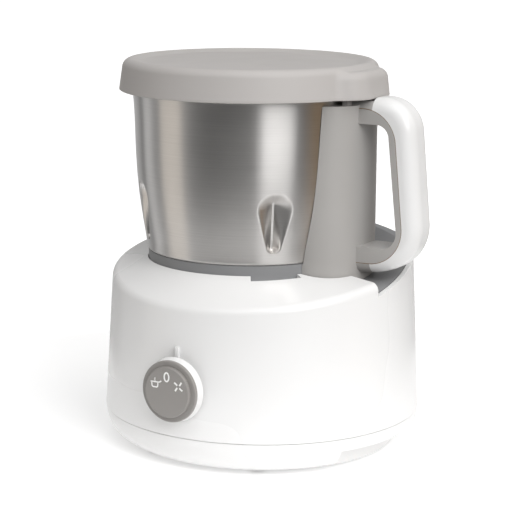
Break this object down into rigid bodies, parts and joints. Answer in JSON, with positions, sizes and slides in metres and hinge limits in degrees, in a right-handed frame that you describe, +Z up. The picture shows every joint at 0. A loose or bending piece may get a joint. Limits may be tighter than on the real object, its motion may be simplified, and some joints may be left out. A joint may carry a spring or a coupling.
{
  "type": "baby food maker",
  "caption": "Baby food maker: a steel blending bowl with a grey handle column and lid, standing in a round white motor base with a dial.",
  "frame": {"origin": "on the floor under the axis of the round base, in the plane of the feet", "axes": "+Z up; +X towards the bowl's handle; -Y towards the dial"},
  "size_m": [0.2126, 0.2125, 0.2423],
  "materials": {
    "white_plastic": "satin",
    "grey_plastic": "fine satin",
    "dark_grey_plastic": "fine satin",
    "lid_grey": "fine satin",
    "knob_grey": "fine satin",
    "foot_rubber": "matte",
    "seal_rubber": "matte",
    "black_plastic": "matte",
    "screw_steel": "bright",
    "can_steel": "satin",
    "bearing_steel": "ground",
    "spring_steel": "drawn wire",
    "blade_steel": "ground",
    "bowl_steel": "brushed round its axis",
    "magnet": "matte",
    "lamination": "matte",
    "brass": "satin",
    "copper": "turned",
    "board": "matte",
    "aluminium": "satin"
  },
  "bodies": {
    "base": {"base_housing": "white_plastic", "dock_liner": "dark_grey_plastic", "bottom_shell": "white_plastic", "rubber_feet": "foot_rubber", "housing_screws": "screw_steel", "dock_screws": "screw_steel", "cord_gland": "foot_rubber", "motor_can": "can_steel", "motor_end_cap": "can_steel", "upper_bearing": "bearing_steel", "lower_bearing": "bearing_steel", "motor_magnets": "magnet", "brush_holders": "brass", "motor_mount": "can_steel", "motor_grommets": "foot_rubber", "mount_screws": "screw_steel", "motor_screws": "screw_steel", "shaft_seal": "seal_rubber", "rotary_switch": "black_plastic", "switch_nut": "screw_steel", "control_board": "board", "heater_socket": "black_plastic", "interlock_switch": "black_plastic", "plunger_cap": "black_plastic", "plunger_spring": "spring_steel"},
    "rotor": {"motor_shaft": "bearing_steel", "commutator": "copper", "armature": "lamination", "cooling_fan": "black_plastic", "drive_coupling": "black_plastic"},
    "knob": {"knob_cap": "knob_grey", "knob_skirt": "white_plastic", "knob_spindle": "bearing_steel"},
    "bowl": {"bowl_shell": "bowl_steel", "bowl_base_ring": "dark_grey_plastic", "bowl_base_cover": "dark_grey_plastic", "heater_plate": "aluminium", "heater_element": "can_steel", "temperature_sensor": "brass", "heater_plug": "black_plastic", "blade_bush": "brass", "blade_seal": "seal_rubber", "bush_nut": "brass", "column": "grey_plastic", "handle_liner": "grey_plastic", "grip_shell": "white_plastic", "handle_screws": "screw_steel", "rod_spring": "spring_steel"},
    "interlock_rod": {"interlock_rod": "black_plastic"},
    "base_plunger": {"base_plunger": "black_plastic"},
    "blades": {"blade_shaft": "bearing_steel", "blade_hub": "black_plastic", "lower_blade": "blade_steel", "upper_blade": "blade_steel", "driven_coupling": "black_plastic"},
    "lid": {"lid_shell": "lid_grey", "lid_gasket": "seal_rubber", "interlock_tab": "lid_grey"}
  },
  "joints": [
    {"name": "knob_turn", "type": "hinge", "parent": "base", "child": "knob", "pos_m": [-0.0022, -0.1, 0.0532], "axis": [0, -1, 0], "range_deg": [-60, 60]},
    {"name": "motor_spin", "type": "hinge", "parent": "base", "child": "rotor", "pos_m": [-0.01, 0, 0.06], "axis": [0, 0, 1], "continuous": true},
    {"name": "bowl_lift", "type": "slide", "parent": "base", "child": "bowl", "axis": [0, 0, 1], "range_m": [0, 0.15]},
    {"name": "blade_spin", "type": "hinge", "parent": "bowl", "child": "blades", "pos_m": [-0.01, 0, 0.12], "axis": [0, 0, 1], "continuous": true},
    {"name": "lid_lift", "type": "slide", "parent": "bowl", "child": "lid", "axis": [0, 0, 1], "range_m": [0, 0.1]},
    {"name": "rod_press", "type": "slide", "parent": "bowl", "child": "interlock_rod", "axis": [0, 0, -1], "range_m": [0, 0.003], "stiffness_N_per_m": 120, "springref_m": -0.001, "deforming": ["rod_spring"]},
    {"name": "plunger_press", "type": "slide", "parent": "base", "child": "base_plunger", "axis": [0, 0, -1], "range_m": [0, 0.003], "stiffness_N_per_m": 120, "springref_m": -0.001, "deforming": ["plunger_spring"]}
  ],
  "couplings": [
    {"joint": "blade_spin", "follows": "motor_spin", "ratio": 1},
    {"joint": "plunger_press", "follows": "rod_press", "ratio": 1}
  ]
}
